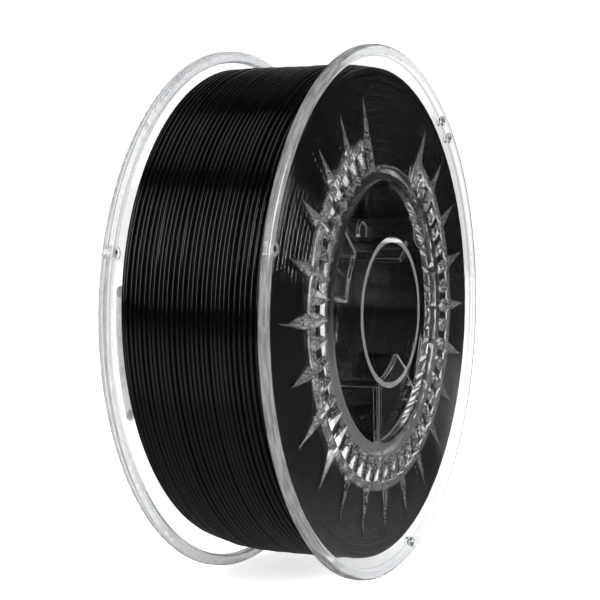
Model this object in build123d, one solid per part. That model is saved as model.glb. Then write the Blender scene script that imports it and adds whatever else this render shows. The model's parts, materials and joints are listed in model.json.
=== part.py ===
from build123d import *
import os
from math import cos, radians, sin

# A filament spool: two clear moulded halves that plug together in the hub, with black filament wound on
# them. The spool's axis is Y, +Z is up, and the origin is the centre of the bore at mid-width. Sizes in mm.
#
# Each half is drawn in its own half frame: x to the right and y up as seen from outside, z outwards along
# the spool's axis, and z = 0 at mid-width. FRONT turns that frame so that outwards is -Y, REAR so that
# outwards is +Y. Angles are counter-clockwise as seen from outside the half.

os.makedirs("parts", exist_ok=True)

# Driving dimensions
RIM_R = 100.0             # outside of the rims
RIM_FACE_Z = 32.0         # outer face of a rim
BORE_R = 26.35            # spindle bore
BORE_END_Z = 33.9         # end of the bore tube, proud of the rim
HUB_R = 49.6              # inside of the hub wall
WALL = 1.8                # hub wall thickness
DISC_IN_Z = 29.2          # flange face next to the winding
DISC_T = 2.0              # flange thickness
FILAMENT_D = 1.75

# Flange and rim
DISC_OUT_Z = DISC_IN_Z + DISC_T
RIM_W = 4.3
RIM_IN_Z = 27.9
RIM_FILLET = 1.2
HUB_OUT_R = HUB_R + WALL
HUB_TOP_Z = DISC_IN_Z - 2.0
LIP_R = (HUB_R + 0.3, 55.3)       # the raised lip round the hub's mouth is highest on its inside
LIP_H = (1.75, 0.8)

# Sunburst relief around the hub
BURST_STEP = 15.0
BURST_GAP = (75.0, 90.0)  # no spikes here
SPIKE_R = (54.3, 65.5, 85.4)      # inner end, widest place, outer tip
BAR_R = (54.3, 64.5, 67.0)        # a short bar stands between each two spikes
RELIEF_HALF_W = (1.75, 3.2)       # at the inner end and at the widest place
RELIEF_H = (2.1, 1.5)
BAND_R = (64.1, 67.2)             # the band slopes too, and is highest on its inside
BAND_H = (1.5, 0.9)
RELIEF_SINK = 0.4         # how deep the relief's foot goes into the disc

# Eyelets for the filament's end
EYELET_R = 95.9
EYELET_OUT_R = 2.3
EYELET_HOLE_R = 1.55
EYELET_IN_Z = RIM_IN_Z + 0.3
FRONT_EYELETS = (46.0, 52.0, 165.0, 286.0)
REAR_EYELETS = (14.0, 135.0, 255.0, 261.0)

# Hub core
TUBE_OUT_R = BORE_R + 2.0
HALF_GAP = 0.1            # each half stops this far from mid-width
WEB_T = 2.0
WEB_TOP_Z = 29.4
WEB_LOW_Z = 4.0
POST_R = 43.2             # guide post's place
POST_ANGLE = 44.5
POST_OUT_R = 6.35
POST_WALL = 1.2
POST_END_Z = 33.0
PIN_CLEARANCE = 0.3
PIN_REACH = 9.0           # how far the rear pin enters the front guide tube
WEB_END_GAP = 0.02        # the flat ends of a web clear the round walls by this much
TAB_WEB = 158.0           # the web under the front latch tab
LOWER_WEB = 270.0
SPIGOT_T = 0.8
SPIGOT_LEN = 3.0
SPIGOT_CLEARANCE = 0.2

# Plates in the hub's mouth
TAB_ANGLES = (138.5, 172.0)
TAB_R = (33.6, HUB_R - 0.1)
TAB_Z = (29.2, 30.8)
TAB_WALL_T = 1.8
TAB_WALL_LOW_Z = 19.0
TAB_CORNER_R = 3.5
TAB_STEP = (14.0, 0.5)    # the last degrees of the tab are thicker by this height
PLATE_ANGLES = (272.5, 320.0)
PLATE_Z = (26.2, 27.7)
WINDOW_ANGLE = 296.0
WINDOW_SIZE = (20.5, 15.0)
WINDOW_Z = 18.6
WINDOW_CORNER_R = 2.5

# Frosted pad on the rear flange
PAD_R = 88.0
PAD_W = 4.7
PAD_ANGLES = (-22.2, 6.3)
PAD_H = 0.6
STUD_R = 1.75
STUD_SLOT = 0.5

# Winding
WIND_IN_R = HUB_OUT_R + 0.4
WIND_OUT_R = 93.4
WIND_HALF_W = 28.4
LAYER = FILAMENT_D
WIND_TURNS = 31
WIND_CHAMFER = 2.0        # the innermost turns step back from the flanges' thick corners

FRONT = Rot(90, 0, 0)
REAR = Rot(0, 0, 180) * Rot(90, 0, 0)


def ring(r_in, r_out, z_low, z_high):
    """A plain ring about the half frame's z axis."""
    section = Pos((r_in + r_out) / 2, (z_low + z_high) / 2) * Rectangle(r_out - r_in, z_high - z_low)
    return revolve(Rot(90, 0, 0) * section, Axis.Z)


def sector(r_in, r_out, z_low, z_high, start, end):
    """A piece of a ring from one angle to another."""
    section = Pos((r_in + r_out) / 2, (z_low + z_high) / 2) * Rectangle(r_out - r_in, z_high - z_low)
    return Rot(0, 0, start) * revolve(Rot(90, 0, 0) * section, Axis.Z, end - start)


def turned(points):
    """A full turn of an outline given as (radius, z) points."""
    outline = make_face(Polyline(*points, close=True))
    return revolve(Rot(90, 0, 0) * outline, Axis.Z)


def at(radius, angle, z=0.0):
    """A place in the half frame given by radius, angle and height."""
    return Pos(radius * cos(radians(angle)), radius * sin(radians(angle)), z)


def relief_bar(radii):
    """A faceted ridge that points along +x: widest where it crosses the band, highest at its inner end."""
    inner, wide, outer = radii
    inner_half, wide_half = RELIEF_HALF_W
    inner_h, wide_h = RELIEF_H
    corners = [(outer, 0), (wide, wide_half), (inner, inner_half), (inner, -inner_half), (wide, -wide_half)]
    low = [Vector(x, y, DISC_OUT_Z - RELIEF_SINK) for x, y in corners]
    tip, left_wide, left_end, right_end, right_wide = [Vector(x, y, DISC_OUT_Z) for x, y in corners]
    crown = Vector(wide, 0, DISC_OUT_Z + wide_h)
    head = Vector(inner, 0, DISC_OUT_Z + inner_h)
    top = [tip, left_wide, left_end, right_end, right_wide]
    outlines = [low]
    for i in range(len(corners)):
        j = (i + 1) % len(corners)
        outlines.append([low[i], low[j], top[j], top[i]])
    outlines += [
        [tip, left_wide, crown],
        [left_wide, head, crown],
        [left_wide, left_end, head],
        [left_end, right_end, head],
        [right_end, right_wide, head],
        [right_wide, crown, head],
        [right_wide, tip, crown],
    ]
    return Solid(Shell([Face(Wire.make_polygon(outline)) for outline in outlines]))


def sunburst():
    """The spikes, the short bars between them and the raised band that crosses them."""
    first_gap, last_gap = BURST_GAP
    band_start = last_gap + BURST_STEP
    band_end = first_gap - BURST_STEP + 360
    low = DISC_OUT_Z - RELIEF_SINK
    band_section = make_face(
        Polyline(
            (BAND_R[0], low),
            (BAND_R[1], low),
            (BAND_R[1] - 0.3, DISC_OUT_Z + BAND_H[1]),
            (BAND_R[0], DISC_OUT_Z + BAND_H[0]),
            close=True,
        )
    )
    band = revolve(Rot(90, 0, 0) * band_section, Axis.Z, band_end - band_start)
    pieces = [Rot(0, 0, band_start) * band]
    spike = relief_bar(SPIKE_R)
    bar = relief_bar(BAR_R)
    steps = round((band_end - band_start) / BURST_STEP)
    for i in range(steps + 1):
        pieces.append(Rot(0, 0, band_start + i * BURST_STEP) * spike)
    for i in range(steps):
        pieces.append(Rot(0, 0, band_start + (i + 0.5) * BURST_STEP) * bar)
    return pieces


def flange(eyelets):
    """The hub's lip, the disc, the rim, the sunburst and the eyelets, moulded as one."""
    disc = turned(
        [
            (HUB_R, HUB_TOP_Z),
            (HUB_OUT_R, HUB_TOP_Z),
            (HUB_OUT_R + DISC_IN_Z - HUB_TOP_Z, DISC_IN_Z),
            (RIM_R - RIM_W + 0.5, DISC_IN_Z),
            (RIM_R - RIM_W + 0.5, DISC_OUT_Z),
            (LIP_R[1] + 0.2, DISC_OUT_Z),
            (LIP_R[1], DISC_OUT_Z + LIP_H[1]),
            (LIP_R[0], DISC_OUT_Z + LIP_H[0]),
            (HUB_R, DISC_OUT_Z + LIP_H[0] - 0.4),
        ]
    )
    rim_section = RectangleRounded(RIM_W, RIM_FACE_Z - RIM_IN_Z, RIM_FILLET)
    rim_place = Pos(RIM_R - RIM_W / 2, (RIM_FACE_Z + RIM_IN_Z) / 2)
    rim = revolve(Rot(90, 0, 0) * rim_place * rim_section, Axis.Z)
    tube_h = RIM_FACE_Z - EYELET_IN_Z
    tube = Cylinder(EYELET_OUT_R, tube_h, align=(Align.CENTER, Align.CENTER, Align.MIN))
    hole = Cylinder(EYELET_HOLE_R, RIM_FACE_Z, align=(Align.CENTER, Align.CENTER, Align.MIN))
    body = disc + rim
    body = body.fuse(*[at(EYELET_R, a, EYELET_IN_Z) * tube for a in eyelets])
    body = body.cut(*[at(EYELET_R, a, EYELET_IN_Z - 1) * hole for a in eyelets])
    return body.fuse(*sunburst())


def web(angle, outer_r, top_z):
    """A radial web from the bore tube out to a radius."""
    middle = Pos((TUBE_OUT_R + outer_r) / 2, (WEB_LOW_Z + top_z) / 2)
    section = Rot(90, 0, 0) * middle * Rectangle(outer_r - TUBE_OUT_R, top_z - WEB_LOW_Z)
    return Rot(0, 0, angle) * extrude(section, WEB_T / 2, both=True)


def webs(post_angle, tab_angle):
    """The three webs of a half: one to the guide post, one below the latch tab, one at the bottom."""
    wall_r = HUB_R - WEB_END_GAP
    return [
        web(post_angle, POST_R - POST_OUT_R - WEB_END_GAP, WEB_TOP_Z),
        web(tab_angle, wall_r, TAB_WALL_LOW_Z),
        web(LOWER_WEB, wall_r, WEB_TOP_Z),
    ]


def bore_tube():
    """Half of the tube round the spindle bore, with a window behind the sector plate."""
    tube = ring(BORE_R, TUBE_OUT_R, HALF_GAP, BORE_END_Z)
    tool = extrude(RectangleRounded(*WINDOW_SIZE, WINDOW_CORNER_R), TUBE_OUT_R + 5)
    tool = Rot(0, 0, WINDOW_ANGLE) * Pos(0, 0, WINDOW_Z) * Rot(0, 90, 0) * Rot(0, 0, 90) * tool
    return tube - tool


def latch_tab(start, end):
    """A finger plate in the hub's mouth, with a deep wall along its inner edge and a step across it."""
    plate = sector(*TAB_R, *TAB_Z, start, end)
    inner_edges = plate.edges().filter_by(Axis.Z).sort_by(lambda e: e.center().length)[:2]
    plate = fillet(inner_edges, TAB_CORNER_R / 2)
    step_span, step_h = TAB_STEP
    step = sector(TAB_R[0] + 2, TAB_R[1], TAB_Z[1] - 0.3, TAB_Z[1] + step_h, end - step_span, end - 1)
    wall = sector(TAB_R[0], TAB_R[0] + TAB_WALL_T, TAB_WALL_LOW_Z, TAB_Z[0] + 0.2, start + 3.5, end - 3.5)
    return plate + step + wall


def sector_plate():
    """A flat plate that closes the hub's mouth next to the lower web."""
    return sector(TUBE_OUT_R, HUB_R - 0.05, *PLATE_Z, *PLATE_ANGLES)


def hub_wall(has_spigot):
    """Half of the hub's wall. The front one plugs into the rear one with a thin spigot."""
    wall = ring(HUB_R, HUB_OUT_R, HALF_GAP, HUB_TOP_Z)
    if has_spigot:
        return wall + ring(HUB_R, HUB_R + SPIGOT_T, -SPIGOT_LEN, HALF_GAP)
    recess_r = HUB_R + SPIGOT_T + SPIGOT_CLEARANCE
    return wall - ring(HUB_R - 1, recess_r, 0, SPIGOT_LEN + SPIGOT_CLEARANCE)


def guide_tube():
    """The front half's round guide tube, open at both ends."""
    length = POST_END_Z - HALF_GAP
    tube = Cylinder(POST_OUT_R, length) - Cylinder(POST_OUT_R - POST_WALL, length)
    return at(POST_R, POST_ANGLE, (POST_END_Z + HALF_GAP) / 2) * tube


def guide_pin():
    """The rear half's hollow post. Its thinner end enters the front guide tube."""
    angle = 180 - POST_ANGLE
    pin_r = POST_OUT_R - POST_WALL - PIN_CLEARANCE
    length = POST_END_Z - HALF_GAP
    post = at(POST_R, angle, (POST_END_Z + HALF_GAP) / 2) * Cylinder(POST_OUT_R, length)
    pin = at(POST_R, angle, (HALF_GAP + 1 - PIN_REACH) / 2) * Cylinder(pin_r, PIN_REACH + HALF_GAP + 1)
    tip = pin.edges().filter_by(GeomType.CIRCLE).sort_by(Axis.Z)[0]
    pin = chamfer(tip, 1.0)
    bore = at(POST_R, angle) * Cylinder(pin_r - POST_WALL, 3 * POST_END_Z)
    return post + pin - bore


def pad_outline(width):
    """An arc-shaped strip with round ends, centred on the pad's line."""
    start, end = PAD_ANGLES
    half = width / 2
    strip = sector(PAD_R - half, PAD_R + half, DISC_OUT_Z, DISC_OUT_Z + PAD_H, start, end)
    end_disc = Cylinder(half, PAD_H, align=(Align.CENTER, Align.CENTER, Align.MIN))
    return strip + at(PAD_R, start, DISC_OUT_Z) * end_disc + at(PAD_R, end, DISC_OUT_Z) * end_disc


def pad_studs():
    """A slotted round stud at each end of the pad."""
    stud = Cylinder(STUD_R, PAD_H, align=(Align.CENTER, Align.CENTER, Align.MIN))
    slot = Pos(0, 0, PAD_H) * Rot(0, 0, 35) * Box(3 * STUD_R, STUD_SLOT, PAD_H)
    return [at(PAD_R, a, DISC_OUT_Z + PAD_H) * (stud - slot) for a in PAD_ANGLES]


def wound(points):
    """A full turn about the spool's axis of an outline given as (radius, y) points."""
    return revolve(make_face(Polyline(*points, close=True)), Axis.Y)


def turns_ring(r_base, outwards):
    """One layer of turns side by side, as a ring with a scalloped surface on its free side."""
    pitch = 2 * WIND_HALF_W / WIND_TURNS
    free_r = r_base + outwards * LAYER * 0.55
    edge = Polyline((free_r, -WIND_HALF_W), (r_base, -WIND_HALF_W), (r_base, WIND_HALF_W), (free_r, WIND_HALF_W))
    scallops = []
    for i in range(WIND_TURNS):
        low = -WIND_HALF_W + i * pitch
        middle = (free_r + outwards * LAYER * 0.45, low + pitch / 2)
        scallops.append(ThreePointArc((free_r, low), middle, (free_r, low + pitch)))
    return revolve(make_face(Wire([*edge.edges(), *scallops])), Axis.Y)


def winding():
    """The wound filament: a core, the turns that lie outermost and innermost, and the two sides."""
    core_in = WIND_IN_R + LAYER
    core_out = WIND_OUT_R - LAYER
    core_half = WIND_HALF_W - LAYER
    cut = WIND_CHAMFER
    core = wound([(core_in, -core_half + cut), (core_in, core_half - cut), (core_in + cut, core_half),
                  (core_out, core_half), (core_out, -core_half), (core_in + cut, -core_half)])
    side = [(core_in + cut, core_half), (core_out, core_half), (core_out, WIND_HALF_W),
            (core_in + cut + LAYER / 2, WIND_HALF_W)]
    front_side = wound([(r, -y) for r, y in side])
    inner_half = core_half - cut
    inner = wound([(WIND_IN_R, -inner_half), (core_in, -inner_half), (core_in, inner_half),
                   (WIND_IN_R, inner_half)])
    return {
        "filament_core": core,
        "filament_outer_turns": turns_ring(core_out, 1),
        "filament_inner_turns": inner,
        "filament_rear_turns": wound(side),
        "filament_front_turns": front_side,
    }


front_half = {
    "front_flange": flange(FRONT_EYELETS),
    "front_hub_wall": hub_wall(True),
    "front_bore_tube": bore_tube(),
    "front_webs": webs(POST_ANGLE, TAB_WEB),
    "front_guide_tube": guide_tube(),
    "front_latch_tab": latch_tab(*TAB_ANGLES),
    "front_sector_plate": sector_plate(),
}
rear_half = {
    "rear_flange": flange(REAR_EYELETS),
    "rear_hub_wall": hub_wall(False),
    "rear_bore_tube": bore_tube(),
    "rear_webs": webs(180 - POST_ANGLE, 180 - TAB_WEB),
    "rear_guide_pin": guide_pin(),
    "rear_latch_tab": latch_tab(180 - TAB_ANGLES[1], 180 - TAB_ANGLES[0]),
    "rear_sector_plate": sector_plate(),
    "rear_pad": pad_outline(PAD_W),
    "rear_pad_studs": pad_studs(),
}


def placed(shape, place):
    """A shape, or a group of separate solids, put in its place in the spool."""
    if isinstance(shape, list):
        return Compound(children=[place * s for s in shape])
    return place * shape


nodes = {name: placed(shape, FRONT) for name, shape in front_half.items()}
nodes.update({name: placed(shape, REAR) for name, shape in rear_half.items()})
nodes.update(winding())
for name, shape in nodes.items():
    export_step(shape, f"parts/{name}.step")
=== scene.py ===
import json
import math

import bpy
import numpy as np
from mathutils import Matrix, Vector


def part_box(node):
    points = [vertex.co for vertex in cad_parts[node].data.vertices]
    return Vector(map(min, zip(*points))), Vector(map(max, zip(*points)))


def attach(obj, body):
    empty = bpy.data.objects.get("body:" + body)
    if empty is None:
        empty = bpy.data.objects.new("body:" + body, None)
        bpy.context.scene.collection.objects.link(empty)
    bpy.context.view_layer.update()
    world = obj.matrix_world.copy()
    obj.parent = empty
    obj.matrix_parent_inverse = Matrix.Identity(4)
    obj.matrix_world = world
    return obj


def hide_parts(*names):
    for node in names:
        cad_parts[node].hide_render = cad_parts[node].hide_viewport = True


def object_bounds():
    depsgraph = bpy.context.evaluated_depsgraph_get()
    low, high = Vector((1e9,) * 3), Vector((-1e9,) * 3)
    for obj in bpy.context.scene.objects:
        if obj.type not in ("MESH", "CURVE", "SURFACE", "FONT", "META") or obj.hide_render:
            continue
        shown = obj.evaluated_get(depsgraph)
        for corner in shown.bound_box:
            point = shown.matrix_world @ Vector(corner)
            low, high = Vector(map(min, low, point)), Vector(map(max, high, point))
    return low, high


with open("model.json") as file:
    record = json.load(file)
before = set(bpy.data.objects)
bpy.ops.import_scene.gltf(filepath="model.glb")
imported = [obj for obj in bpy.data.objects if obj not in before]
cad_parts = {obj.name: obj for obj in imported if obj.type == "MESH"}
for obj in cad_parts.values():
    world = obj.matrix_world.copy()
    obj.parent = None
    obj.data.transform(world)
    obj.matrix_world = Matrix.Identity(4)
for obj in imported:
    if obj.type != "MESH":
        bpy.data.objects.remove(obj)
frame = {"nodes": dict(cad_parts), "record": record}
cad_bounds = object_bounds()

# A filament spool: two clear moulded halves and the black filament wound on them. The spool's axis is Y,
# and the front half, nearest the camera, is at -Y. The clear halves are the CAD nodes; the filament is
# built here, strand by strand, inside the space that its CAD solids hold. Lengths are in metres.

# Where the halves' zones begin. The places on Y are distances from mid-width, the same for both halves.
# BLUR is how softly zones meet.
RIM_IN_R = 0.0957
LIP_R = 0.0543
HUB_OPEN_R = 0.0455
DISC_Y = 0.0312
TUBE_END_Y = 0.0339
FRONT_RIM_FROM_Y = 0.0291
REAR_RIM_FROM_Y = 0.027
BLUR = 0.0002

# How frosted each zone is, from 0, clear, to 1, opaque. A pair is the least and the most in the zone.
FRONT_RIM_FROST = (0.16, 0.3)
REAR_RIM_FROST = (0.3, 0.42)
# The sunburst's frost is partly its fine grain and partly painted glints, standing in for reflections off its
# facets.
RELIEF_FROST_AND_GLINTS = (0.0, 0.16)
LIP_FROST = (0.01, 0.1)
TUBE_END_FROST = 0.13
# Frost on the rounded edges of the small features, which makes those edges look lighter.
ROUNDED_EDGE_FROST = 0.3

# The rims' streaks are drawn out round the axis as if they lay at this radius.
STREAK_R = 0.012

# The radius that the moulded edges seem to have, sharp ones and the soft ones of the small features.
SHARP_EDGE = 0.0001
SOFT_EDGE = 0.0006
SOFT_EDGED = ("latch_tab", "guide_tube", "guide_pin", "sector_plate", "webs")

CLEAR_TINT = (0.93, 0.94, 0.945, 1)
FROST_TINT = (0.62, 0.63, 0.64, 1)
SHADOW_TINT = (0.86, 0.87, 0.88, 1)
PLASTIC_IOR = 1.57

# What reflections see of the studio: a painted pool of light on the floor, a table that glows grey in the
# middle and fades between two radii, in a dim room. Other light sees the bright studio, and SPARKLE is how
# much of it comes back in light that has been reflected more than twice.
TABLE_CENTRE = (-0.28, 0.12)
TABLE_R = (0.12, 0.68)
TABLE_GLOW = 0.17
TABLE_EDGE_GLOW = 0.02
ROOM = 0.008
STUDIO = 1.15
SPARKLE = 0.8

FILAMENT_D = 0.00175
STRAND_R = FILAMENT_D / 2
WIND_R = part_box("filament_outer_turns")[1].x
WIND_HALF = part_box("filament_outer_turns")[1].y
INNER_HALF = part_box("filament_inner_turns")[1].y
OUTER_TURNS = 30
SIDE_TURNS = 24
INNER_TURNS = 25

# How far the winding lies below its highest place, at most: at the bottom, next to the rear flange, where
# it lies highest at one angle, and next to the front flange.
SAG_BELOW = 0.0007
SAG_REAR = 0.0040
SAG_REAR_HIGHEST_AT = math.radians(58)
SAG_FRONT = 0.0019

# The floor lies FLOOR_DROP under the rims. The camera's lens and sensor are in millimetres.
FLOOR_DROP = 0.0002
FLOOR_HALF = 4.0
CAMERA_PLACE = (-0.5556, -0.2668, 0.0320)
CAMERA_TARGET = (-0.0016, 0.0036, 0.0040)
CAMERA_LENS = 96.14
CAMERA_SENSOR = 36

rng = np.random.default_rng(41)


# ---------------------------------------------------------------- shader helpers

def new_material(name):
    """A node material with its nodes, links and Principled shader."""
    material = bpy.data.materials.new(name)
    material.use_nodes = True
    nodes = material.node_tree.nodes
    return material, nodes, material.node_tree.links, nodes["Principled BSDF"]


def feed(links, socket, value):
    """Links another node's value to a socket, or sets the socket to a plain number or colour."""
    if isinstance(value, bpy.types.NodeSocket):
        links.new(value, socket)
    else:
        socket.default_value = value


def object_place(nodes):
    """The place on the object, in metres."""
    return nodes.new("ShaderNodeTexCoord").outputs["Object"]


def noise(nodes, links, scale, detail, place=None):
    """A noise texture, in object space unless a place is given. Its scale is in features per metre."""
    texture = nodes.new("ShaderNodeTexNoise")
    texture.inputs["Scale"].default_value = scale
    texture.inputs["Detail"].default_value = detail
    if place is None:
        place = object_place(nodes)
    links.new(place, texture.inputs["Vector"])
    return texture.outputs["Fac"]


def spread(nodes, links, value, low, high):
    """Maps a 0 to 1 value to the range from low to high."""
    node = nodes.new("ShaderNodeMapRange")
    node.inputs["To Min"].default_value = low
    node.inputs["To Max"].default_value = high
    links.new(value, node.inputs["Value"])
    return node.outputs["Result"]


def step_up(nodes, links, value, start, end, low=0.0, high=1.0):
    """A smooth step of a value from low at start to high at end. start may be the larger of the two."""
    node = nodes.new("ShaderNodeMapRange")
    node.interpolation_type = "SMOOTHSTEP"
    node.inputs["From Min"].default_value = start
    node.inputs["From Max"].default_value = end
    node.inputs["To Min"].default_value = low
    node.inputs["To Max"].default_value = high
    links.new(value, node.inputs["Value"])
    return node.outputs["Result"]


def combine(nodes, links, operation, first, second=0.0):
    """A sum, product or the like of two values; either may be a plain number."""
    node = nodes.new("ShaderNodeMath")
    node.operation = operation
    feed(links, node.inputs[0], first)
    feed(links, node.inputs[1], second)
    return node.outputs["Value"]


def blend(nodes, links, kind, factor, first, second):
    """first where factor is 0 and second where it is 1. kind is FLOAT for numbers and RGBA for colours."""
    node = nodes.new("ShaderNodeMix")
    node.data_type = kind
    links.new(factor, node.inputs["Factor"])
    feed(links, node.inputs["A"], first)
    feed(links, node.inputs["B"], second)
    return node.outputs["Result"]


def bump(nodes, links, height, strength, distance, normal=None):
    """A bump of the given depth in metres."""
    node = nodes.new("ShaderNodeBump")
    node.inputs["Strength"].default_value = strength
    node.inputs["Distance"].default_value = distance
    links.new(height, node.inputs["Height"])
    if normal is not None:
        links.new(normal, node.inputs["Normal"])
    return node.outputs["Normal"]


# ---------------------------------------------------------------- clear plastic

def spool_places(nodes, links):
    """The distance from the spool's axis and from mid-width, both in metres, and the angle round the axis."""
    place = object_place(nodes)
    flat = nodes.new("ShaderNodeVectorMath")
    flat.operation = "MULTIPLY"
    flat.inputs[1].default_value = (1, 0, 1)
    links.new(place, flat.inputs[0])
    length = nodes.new("ShaderNodeVectorMath")
    length.operation = "LENGTH"
    links.new(flat.outputs["Vector"], length.inputs[0])
    parts = nodes.new("ShaderNodeSeparateXYZ")
    links.new(place, parts.inputs["Vector"])
    angle = combine(nodes, links, "ARCTAN2", parts.outputs["Z"], parts.outputs["X"])
    height = combine(nodes, links, "ABSOLUTE", parts.outputs["Y"])
    return length.outputs["Value"], height, angle


def rim_zones(nodes, links, radius, height, rim_from):
    """Masks of a rim's frosted part, further from mid-width than rim_from, and of its clear part."""
    on_rim = step_up(nodes, links, radius, RIM_IN_R - BLUR, RIM_IN_R + BLUR)
    nearer = step_up(nodes, links, height, rim_from + BLUR, rim_from)
    further = step_up(nodes, links, height, rim_from, rim_from + 3 * BLUR)
    clear_rim = combine(nodes, links, "MULTIPLY", on_rim, nearer)
    frosted_rim = combine(nodes, links, "MULTIPLY", on_rim, further)
    return frosted_rim, clear_rim


def relief_zone(nodes, links, radius, height, frosted_rim):
    """A mask of what stands proud of the disc: the sunburst and its lip."""
    proud = step_up(nodes, links, height, DISC_Y + 0.5 * BLUR, DISC_Y + 1.5 * BLUR)
    relief = combine(nodes, links, "MULTIPLY", proud, combine(nodes, links, "SUBTRACT", 1.0, frosted_rim))
    outside_hub = step_up(nodes, links, radius, HUB_OPEN_R - 5 * BLUR, HUB_OPEN_R)
    return combine(nodes, links, "MULTIPLY", relief, outside_hub)


def tube_end_zone(nodes, links, height):
    """A mask of the bore tube's end faces."""
    facing = nodes.new("ShaderNodeSeparateXYZ")
    links.new(nodes.new("ShaderNodeTexCoord").outputs["Normal"], facing.inputs["Vector"])
    endwise = combine(nodes, links, "ABSOLUTE", facing.outputs["Y"])
    at_end = step_up(nodes, links, height, TUBE_END_Y - 3 * BLUR, TUBE_END_Y - 1.5 * BLUR)
    return combine(nodes, links, "MULTIPLY", at_end, step_up(nodes, links, endwise, 0.8, 0.95))


def rim_frost(nodes, links, frosted_rim, radius, height, angle, frosting):
    """Frosting of the rim, in streaks that run round the axis."""
    round_the_axis = nodes.new("ShaderNodeCombineXYZ")
    links.new(radius, round_the_axis.inputs["X"])
    links.new(height, round_the_axis.inputs["Y"])
    links.new(combine(nodes, links, "MULTIPLY", angle, STREAK_R), round_the_axis.inputs["Z"])
    streaks = noise(nodes, links, scale=900, detail=3, place=round_the_axis.outputs["Vector"])
    frost = step_up(nodes, links, streaks, 0.35, 0.65, *frosting)
    return combine(nodes, links, "MULTIPLY", frosted_rim, frost)


def relief_frost_and_glints(nodes, links, relief, radius, angle):
    """Frosting of the sunburst, which is grainy and partly painted glints that stand in for reflections off
    its facets, and of its lip, which is even and more frosted below.
    """
    grain = noise(nodes, links, scale=1300, detail=3)
    sunburst = step_up(nodes, links, grain, 0.38, 0.62, *RELIEF_FROST_AND_GLINTS)
    highness = combine(nodes, links, "SINE", angle)
    lip = step_up(nodes, links, highness, 0.05, -0.4, *LIP_FROST)
    on_lip = step_up(nodes, links, radius, LIP_R + 0.5 * BLUR, LIP_R - 0.5 * BLUR)
    return combine(nodes, links, "MULTIPLY", relief, blend(nodes, links, "FLOAT", on_lip, sunburst, lip))


def rounded_edge_frost(nodes, links, rounded_normal, edge_frost):
    """Frosting where the rounded normal leaves the face's own, which is at the edges."""
    likeness = nodes.new("ShaderNodeVectorMath")
    likeness.operation = "DOT_PRODUCT"
    links.new(rounded_normal, likeness.inputs[0])
    links.new(nodes.new("ShaderNodeNewGeometry").outputs["Normal"], likeness.inputs[1])
    return step_up(nodes, links, likeness.outputs["Value"], 0.99, 0.9, 0.0, edge_frost)


def clear_plastic(name, edge_round, rim_from, rim_frosting, edge_frost):
    """Clear moulded polystyrene. The rims are frosted by their fine moulded grain, the sunburst is frosted
    partly by its grain and partly by painted glints that stand in for reflections off its facets, and the
    flat disc is smooth with a few specks.
    edge_round is the radius that the moulded edges seem to have, rim_from is the distance from mid-width
    where a rim's frosting begins, rim_frosting is the least and the most of it, and edge_frost is how light
    the rounded edges look."""
    material, nodes, links, shader = new_material(name)
    radius, height, angle = spool_places(nodes, links)
    frosted_rim, clear_rim = rim_zones(nodes, links, radius, height, rim_from)
    relief = relief_zone(nodes, links, radius, height, frosted_rim)
    tube_end = tube_end_zone(nodes, links, height)
    rounded = nodes.new("ShaderNodeBevel")
    rounded.samples = 4
    rounded.inputs["Radius"].default_value = edge_round
    rounded_normal = rounded.outputs["Normal"]

    on_rim = rim_frost(nodes, links, frosted_rim, radius, height, angle, rim_frosting)
    # The sunburst's grainy frost is partly painted glints that stand in for reflections off its facets.
    on_relief_glints = relief_frost_and_glints(nodes, links, relief, radius, angle)
    on_edges = rounded_edge_frost(nodes, links, rounded_normal, edge_frost)
    on_tube_end = combine(nodes, links, "MULTIPLY", tube_end, TUBE_END_FROST)
    frost = combine(nodes, links, "MAXIMUM", on_rim, on_relief_glints)
    frost = combine(nodes, links, "MAXIMUM", frost, on_edges)
    frost = combine(nodes, links, "MAXIMUM", frost, on_tube_end)
    links.new(combine(nodes, links, "SUBTRACT", 1.0, frost), shader.inputs["Transmission Weight"])

    moulded = combine(nodes, links, "MAXIMUM", frosted_rim, relief)
    links.new(blend(nodes, links, "RGBA", moulded, CLEAR_TINT, FROST_TINT), shader.inputs["Base Color"])
    shader.inputs["IOR"].default_value = PLASTIC_IOR
    flow = noise(nodes, links, scale=90, detail=2)
    specks = noise(nodes, links, scale=900, detail=3)
    smooth = spread(nodes, links, specks, 0.0, 0.07)
    rough = combine(nodes, links, "MULTIPLY", moulded, 0.1)
    links.new(combine(nodes, links, "ADD", smooth, rough), shader.inputs["Roughness"])
    waves = bump(nodes, links, flow, strength=0.2, distance=0.0004, normal=rounded_normal)
    specked = bump(nodes, links, specks, strength=0.05, distance=0.00008, normal=waves)
    links.new(specked, shader.inputs["Normal"])

    # Lamps reach the filament through the plastic, and a rim is too clear to be seen below its frosting.
    path = nodes.new("ShaderNodeLightPath")
    passing = nodes.new("ShaderNodeBsdfTransparent")
    passing.inputs["Color"].default_value = SHADOW_TINT
    mix = nodes.new("ShaderNodeMixShader")
    unseen = combine(nodes, links, "MAXIMUM", path.outputs["Is Shadow Ray"], clear_rim)
    links.new(unseen, mix.inputs["Fac"])
    links.new(shader.outputs["BSDF"], mix.inputs[1])
    links.new(passing.outputs["BSDF"], mix.inputs[2])
    links.new(mix.outputs["Shader"], nodes["Material Output"].inputs["Surface"])
    return material


# ---------------------------------------------------------------- other materials

def frosted_plastic():
    """The frosted pad on the rear flange. Light comes through it."""
    material, nodes, links, shader = new_material("frosted_plastic")
    grain = noise(nodes, links, scale=1500, detail=3)
    colour = blend(nodes, links, "RGBA", grain, (0.36, 0.36, 0.37, 1), (0.48, 0.48, 0.49, 1))
    links.new(colour, shader.inputs["Base Color"])
    links.new(spread(nodes, links, grain, 0.35, 0.6), shader.inputs["Roughness"])
    links.new(spread(nodes, links, grain, 0.35, 0.45), shader.inputs["Alpha"])
    shader.inputs["IOR"].default_value = 1.3
    links.new(bump(nodes, links, grain, strength=0.3, distance=0.0001), shader.inputs["Normal"])
    return material


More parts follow.
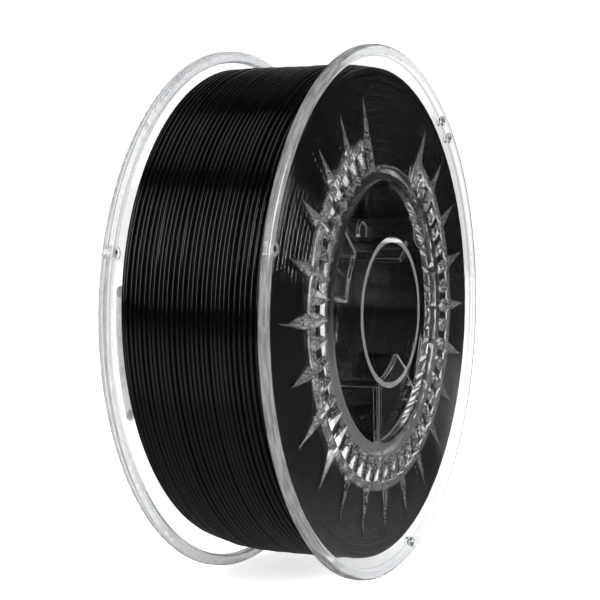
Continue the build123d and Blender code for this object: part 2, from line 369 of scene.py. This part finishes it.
def black_filament():
    """Black extruded filament: glossy, with slow changes of gloss along the strand and fine draw marks."""
    material, nodes, links, shader = new_material("black_filament")
    slow = noise(nodes, links, scale=60, detail=2)
    fine = noise(nodes, links, scale=2200, detail=2)
    colour = blend(nodes, links, "RGBA", slow, (0.0008, 0.0008, 0.0009, 1), (0.0018, 0.0018, 0.002, 1))
    links.new(colour, shader.inputs["Base Color"])
    links.new(spread(nodes, links, slow, 0.06, 0.14), shader.inputs["Roughness"])
    shader.inputs["IOR"].default_value = 1.5
    links.new(bump(nodes, links, fine, strength=0.06, distance=0.00003), shader.inputs["Normal"])
    return material


def reflected(nodes, links):
    """1 for light that glossy surfaces have reflected once or twice on its way, SPARKLE less for more often,
    and 0 for the rest."""
    depth = nodes.new("ShaderNodeLightPath").outputs["Glossy Depth"]
    once = combine(nodes, links, "GREATER_THAN", depth, 0.5)
    often = combine(nodes, links, "GREATER_THAN", depth, 2.5)
    return combine(nodes, links, "SUBTRACT", once, combine(nodes, links, "MULTIPLY", often, SPARKLE))


def white_floor():
    """The studio's white floor. It glows, evenly white to the camera, and reflections see its glow as a
    painted pool of light, a small table in a dark room.
    """
    material, nodes, links, shader = new_material("white_floor")
    away = nodes.new("ShaderNodeVectorMath")
    away.operation = "DISTANCE"
    away.inputs[1].default_value = (*TABLE_CENTRE, cad_bounds[0][2])
    links.new(object_place(nodes), away.inputs[0])
    table = step_up(nodes, links, away.outputs["Value"], *TABLE_R, TABLE_GLOW, TABLE_EDGE_GLOW)
    colour = blend(nodes, links, "RGBA", reflected(nodes, links), (0.9, 0.9, 0.9, 1), table)
    links.new(colour, shader.inputs["Base Color"])
    links.new(colour, shader.inputs["Emission Color"])
    # The floor glows. This washes out the spool's shadow on it and makes the painted pool of light that
    # reflections see.
    shader.inputs["Emission Strength"].default_value = 0.7
    shader.inputs["Roughness"].default_value = 0.9
    shader.inputs["Specular IOR Level"].default_value = 0.1
    return material


CLEAR = clear_plastic("clear_plastic", SHARP_EDGE, REAR_RIM_FROM_Y, REAR_RIM_FROST, 0.0)
CLEAR_FRONT = clear_plastic("clear_plastic_front", SHARP_EDGE, FRONT_RIM_FROM_Y, FRONT_RIM_FROST, 0.0)
CLEAR_SOFT = clear_plastic(
    "clear_plastic_soft_edged", SOFT_EDGE, REAR_RIM_FROM_Y, REAR_RIM_FROST, ROUNDED_EDGE_FROST
)
FROSTED = frosted_plastic()
BLACK = black_filament()


# ---------------------------------------------------------------- filament

def filament_piece(name, points, faces, smooth):
    """A piece of black filament that rides on the rear half. points is a grid of places, and faces number
    them row by row."""
    mesh = bpy.data.meshes.new(name)
    mesh.from_pydata(points.reshape(-1, 3).tolist(), [], faces)
    mesh.update()
    if smooth:
        mesh.shade_smooth()
    mesh.materials.append(BLACK)
    piece = bpy.data.objects.new(name, mesh)
    bpy.context.scene.collection.objects.link(piece)
    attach(piece, "rear_half")
    return piece


def round_axis(angle, radius, along):
    """Points at the given angles and distances round the spool's axis, and at the given places on it."""
    return np.stack([np.cos(angle) * radius, along, np.sin(angle) * radius], -1)


def strand(name, angle, radius, along, sides):
    """A tube of filament that runs round the spool's axis. angle, radius and along (the place on Y) are
    the centreline's samples; its two ends are closed."""
    rings = len(angle)
    turn = np.linspace(0, 2 * math.pi, sides, endpoint=False)
    r = radius[:, None] + np.cos(turn) * STRAND_R
    y = along[:, None] + np.sin(turn) * STRAND_R
    ring_start = np.arange(rings - 1)[:, None] * sides
    here = ring_start + np.arange(sides)
    beside = ring_start + (np.arange(sides) + 1) % sides
    quads = np.stack([here, here + sides, beside + sides, beside], -1).reshape(-1, 4)
    faces = quads.tolist()
    faces.append(list(range(sides)))
    faces.append(list(range((rings - 1) * sides, rings * sides))[::-1])
    return filament_piece(name, round_axis(angle[:, None], r, y), faces, smooth=True)


def smooth_noise(count, waves):
    """A closed wavy line of about unit height, sampled at count places round a circle."""
    angle = np.linspace(0, 2 * math.pi, count, endpoint=False)
    line = np.zeros(count)
    for wave in range(1, waves + 1):
        line += rng.normal() / wave * np.sin(wave * angle + rng.uniform(0, 2 * math.pi))
    return line


def turn_places(start, end, count, unevenness, gap_chance, gap):
    """Places of count turns between start and end, with uneven spacing and some wider gaps. unevenness and
    gap are parts of a turn's width."""
    steps = 1 + rng.normal(0, unevenness, count - 1)
    steps += gap * (rng.random(count - 1) < gap_chance)
    steps = np.clip(steps, 0.9, None)
    places = np.concatenate([[0], np.cumsum(steps)])
    return start + (end - start) * places / places[-1]


def helix(places, per_turn):
    """Follows the turns' places as one continuous line: sample angles and the place along it."""
    turns = len(places) - 1
    t = np.linspace(0, turns, turns * per_turn + 1)
    return t * 2 * math.pi, np.interp(t, np.arange(turns + 1), places)


def wavy(samples, per_turn, shared, own, waves):
    """Sideways wander of a helix, in metres: one part that all turns share and one of each turn's own."""
    turns = math.ceil(samples / per_turn)
    common = smooth_noise(per_turn, waves) * shared
    lines = [common + smooth_noise(per_turn, waves) * own for _ in range(turns)]
    joined = np.concatenate(lines)[:samples]
    kernel = np.hanning(per_turn // 6 + 3)
    kernel /= kernel.sum()
    padded = np.pad(joined, len(kernel) // 2, mode="edge")
    return np.convolve(padded, kernel, mode="valid")[:samples]


def hub_winding_radius():
    """The inner radius of the winding, read from the innermost turns' solid."""
    points = np.array([v.co for v in frame["nodes"]["filament_inner_turns"].data.vertices])
    return float(np.hypot(points[:, 0], points[:, 2]).min())


HUB_WIND_R = hub_winding_radius()


def sag(angle, along):
    """How much lower than its highest place the winding lies. It is lower at the bottom, at the lower left
    next to the rear flange, and above next to the front one."""
    to_rear = np.clip((along / WIND_HALF - 0.25) / 0.75, 0, 1) ** 2
    to_front = np.clip((-along / WIND_HALF - 0.45) / 0.55, 0, 1) ** 2
    below = 0.5 - 0.5 * np.sin(angle)
    below_left = 0.5 - 0.5 * np.cos(angle - SAG_REAR_HIGHEST_AT)
    at_rear = SAG_REAR * to_rear * below_left ** 2
    at_front = SAG_FRONT * to_front * (1 - 0.7 * below)
    return SAG_BELOW * below + at_rear + at_front


def outer_winding():
    """The outermost layer: uneven turns side by side, with a full turn against each flange."""
    per_turn = 180
    edge = WIND_HALF - STRAND_R
    places = turn_places(-edge, edge, OUTER_TURNS, unevenness=0.07, gap_chance=0.2, gap=0.35)
    places = np.concatenate([places[:1], places, places[-1:]])
    angle, along = helix(places, per_turn)
    samples = len(angle)
    fade = 1 - (np.abs(along) / edge) ** 6
    along = along + wavy(samples, per_turn, shared=0.00012, own=0.00005, waves=4) * fade
    radius = WIND_R - STRAND_R - 0.0002 - sag(angle, along)
    radius = radius + wavy(samples, per_turn, shared=0.0001, own=0.00009, waves=5)
    radius = np.minimum(radius, WIND_R - STRAND_R)
    piece = strand("winding_outer_turns", angle, radius, along, sides=12)
    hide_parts("filament_outer_turns")


def under_winding():
    """The layer below, seen in the gaps of the outermost one. It runs back the other way."""
    per_turn = 120
    edge = WIND_HALF - 1.6 * STRAND_R
    places = turn_places(edge, -edge, OUTER_TURNS, unevenness=0.03, gap_chance=0.1, gap=0.2)
    angle, along = helix(places, per_turn)
    radius = WIND_R - FILAMENT_D - STRAND_R - sag(angle, along)
    radius += wavy(len(angle), per_turn, shared=0.0001, own=0.00005, waves=4)
    strand("winding_under_turns", angle, radius, along, sides=8)


def side_winding(name, node, outwards):
    """The turns that lie against a flange, as one spiral from the hub to the outside. The layers of a winding
    nest, so every other turn lies further in. outwards is the flange's side of mid-width on Y, 1 or -1."""
    per_turn = 200
    nesting = 0.0008
    start = HUB_WIND_R + 4.5 * STRAND_R
    end = WIND_R - 1.6 * FILAMENT_D
    places = turn_places(start, end, SIDE_TURNS, unevenness=0.06, gap_chance=0.2, gap=0.25)
    places = np.append(places, places[-1])
    angle, radius = helix(places, per_turn)
    samples = len(angle)
    turn = angle / (2 * math.pi)
    nested = np.clip((np.abs(turn % 2 - 1) - 0.5) / 0.06, -0.5, 0.5) + 0.5
    angle = outwards * angle
    lowering = sag(angle, outwards * WIND_HALF)
    radius = radius - lowering * (radius - start) / (end - start)
    radius = radius + wavy(samples, per_turn, shared=0.0002, own=0.00012, waves=5)
    along = WIND_HALF - STRAND_R - 0.0001 - nesting * nested
    along = along + wavy(samples, per_turn, shared=0.00004, own=0.00012, waves=5)
    along = np.minimum(along, WIND_HALF - STRAND_R)
    piece = strand(name, angle, radius, outwards * along, sides=8)
    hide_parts(node)


def inner_winding():
    """The innermost layer, seen through the clear hub wall."""
    per_turn = 150
    edge = INNER_HALF - STRAND_R * 0.4
    places = turn_places(-edge, edge, INNER_TURNS, unevenness=0.05, gap_chance=0.1, gap=0.2)
    angle, along = helix(places, per_turn)
    wander = wavy(len(angle), per_turn, shared=0.00005, own=0.00004, waves=4)
    radius = HUB_WIND_R + STRAND_R + 0.0001 + np.abs(wander)
    piece = strand("winding_inner_turns", angle, radius, along, sides=8)
    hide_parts("filament_inner_turns")


def winding_core():
    """The body of the winding under its outer turns, as a ring that follows their shape."""
    steps = 144
    inner = HUB_WIND_R + FILAMENT_D
    outer = WIND_R - 2.4 * FILAMENT_D
    half = WIND_HALF - 1.1 * FILAMENT_D
    shoulder = inner + half - INNER_HALF
    outline = [(inner, -INNER_HALF), (inner, INNER_HALF), (shoulder, half)]
    outline += [(outer, y) for y in np.linspace(half, -half, 15)]
    outline += [(shoulder, -half)]
    outline = np.array(outline)
    count = len(outline)
    angle = np.linspace(0, 2 * math.pi, steps, endpoint=False)[:, None]
    on_outside = outline[:, 0] == outer
    r = outline[:, 0] - sag(angle, outline[:, 1]) * on_outside
    y = np.broadcast_to(outline[:, 1], r.shape)
    faces = []
    for i in range(steps):
        for j in range(count):
            here, ahead = i * count, (i + 1) % steps * count
            beside = (j + 1) % count
            faces.append((here + j, here + beside, ahead + beside, ahead + j))
    angles = np.broadcast_to(angle, r.shape)
    piece = filament_piece("winding_core", round_axis(angles, r, y), faces, smooth=False)
    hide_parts("filament_core")


winding_core()
outer_winding()
under_winding()
side_winding("winding_front_turns", "filament_front_turns", -1)
side_winding("winding_rear_turns", "filament_rear_turns", 1)
inner_winding()


# ---------------------------------------------------------------- CAD nodes that stay

SLOT_MATERIAL = {"clear_plastic": CLEAR, "frosted_plastic": FROSTED, "filament": BLACK}


def node_material(node, slot):
    """A CAD node's material: its slot's, apart from the front flange and the clear soft-edged features."""
    if node == "front_flange":
        return CLEAR_FRONT
    if slot == "clear_plastic" and node.endswith(SOFT_EDGED):
        return CLEAR_SOFT
    return SLOT_MATERIAL[slot]


for part in frame["record"]["subparts"]:
    piece = frame["nodes"][part["node"]]
    piece.data.materials.clear()
    piece.data.materials.append(node_material(part["node"], part["material_slot"]))


# ---------------------------------------------------------------- studio

def aim(piece, place, target):
    """Puts a lamp or camera at place and turns it to face the target."""
    place = Vector(place)
    piece.location = place
    piece.rotation_euler = (Vector(target) - place).to_track_quat("-Z", "Y").to_euler()
    bpy.context.scene.collection.objects.link(piece)


def studio_floor():
    """A wide white floor under the rims."""
    lowest = cad_bounds[0][2] - FLOOR_DROP
    corners = [(x * FLOOR_HALF, y * FLOOR_HALF, lowest) for x, y in ((-1, -1), (1, -1), (1, 1), (-1, 1))]
    mesh = bpy.data.meshes.new("floor")
    mesh.from_pydata(corners, [], [(0, 1, 2, 3)])
    mesh.materials.append(white_floor())
    floor = bpy.data.objects.new("floor", mesh)
    bpy.context.scene.collection.objects.link(floor)


def studio_world():
    """A white studio. Glossy reflections see a dim room, so that the black filament stays black."""
    world = bpy.data.worlds.new("studio")
    bpy.context.scene.world = world
    world.use_nodes = True
    nodes = world.node_tree.nodes
    links = world.node_tree.links
    background = nodes["Background"]
    background.inputs["Color"].default_value = (1, 1, 1, 1)
    strength = spread(nodes, links, reflected(nodes, links), STUDIO, ROOM)
    links.new(strength, background.inputs["Strength"])


def softbox(name, place, target, width, height, radiance, through_plastic=True):
    """An oval soft light that faces the target. radiance is its brightness as seen by eye, and
    through_plastic says whether it can be seen through the clear plastic."""
    light = bpy.data.lights.new(name, "AREA")
    light.shape = "ELLIPSE"
    light.size = width
    light.size_y = height
    area = math.pi / 4 * width * height
    light.energy = radiance * math.pi * area
    lamp = bpy.data.objects.new(name, light)
    lamp.visible_camera = False
    lamp.visible_transmission = through_plastic
    aim(lamp, place, target)


def studio_lamps():
    """The tall lamp at the left draws the lines on the strands, and the low one, which lies on the floor and
    faces up, draws them on below. The front one lights the sunburst."""
    middle = (0, 0, 0)
    softbox("left_softbox", (-1.05, -0.05, 0.55), middle, 0.22, 1.15, 8.0, through_plastic=False)
    softbox("low_softbox", (-0.62, 0.0, -0.09), (-0.61, 0.0, 1.0), 0.06, 0.9, 2.0, through_plastic=False)
    softbox("front_softbox", (0.12, -1.14, 0.36), middle, 1.0, 0.36, 12.0)
    softbox("top_softbox", (-0.25, 0.1, 1.2), middle, 0.9, 0.7, 0.8, through_plastic=False)
    softbox("back_softbox", (0.95, 0.6, 0.45), middle, 0.9, 0.8, 0.4)


def studio_camera():
    """Looks at the front of the spool from its left, a little from above."""
    camera = bpy.data.objects.new("camera", bpy.data.cameras.new("camera"))
    camera.data.lens = CAMERA_LENS
    camera.data.sensor_width = CAMERA_SENSOR
    aim(camera, CAMERA_PLACE, CAMERA_TARGET)
    bpy.context.scene.camera = camera


studio_floor()
studio_world()
studio_lamps()
studio_camera()
bpy.context.scene.view_settings.view_transform = "Standard"
